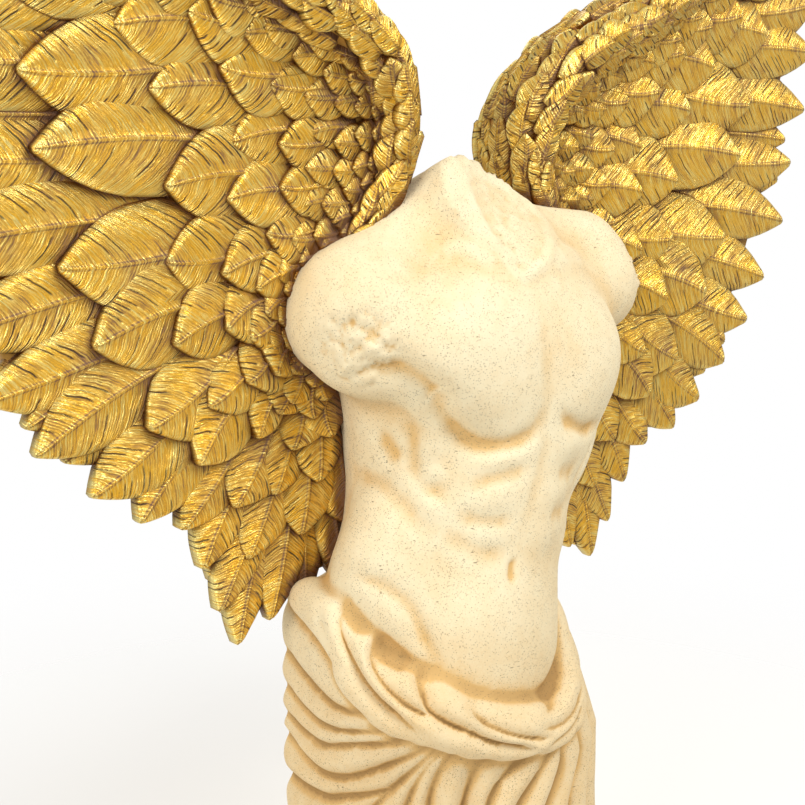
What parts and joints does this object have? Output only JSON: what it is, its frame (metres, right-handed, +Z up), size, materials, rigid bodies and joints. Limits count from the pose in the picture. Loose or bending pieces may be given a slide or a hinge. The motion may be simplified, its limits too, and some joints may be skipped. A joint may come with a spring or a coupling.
{
  "type": "winged wall sculpture",
  "caption": "Wall sculpture of a broken, headless male torso in a draped cloth, with raised feathered wings fixed behind its shoulders and a flat back.",
  "frame": {"origin": "on the torso's flat back, between the shoulder blades, where it bears on the wall", "axes": "+Z up, +Y into the wall, so the figure faces -Y; +X towards the right wing as the viewer sees it"},
  "size_m": [1.0484, 0.2283, 1.0912],
  "materials": {
    "cast_stone_resin": "matt cream cast stone look, sandy, with fine dark specks and small pits",
    "gold_paint": "bright gold metallic paint with a mauve-brown wash in the recesses"
  },
  "bodies": {
    "root": {"torso_with_drape": "cast_stone_resin", "left_wing": "gold_paint", "right_wing": "gold_paint"}
  },
  "joints": []
}
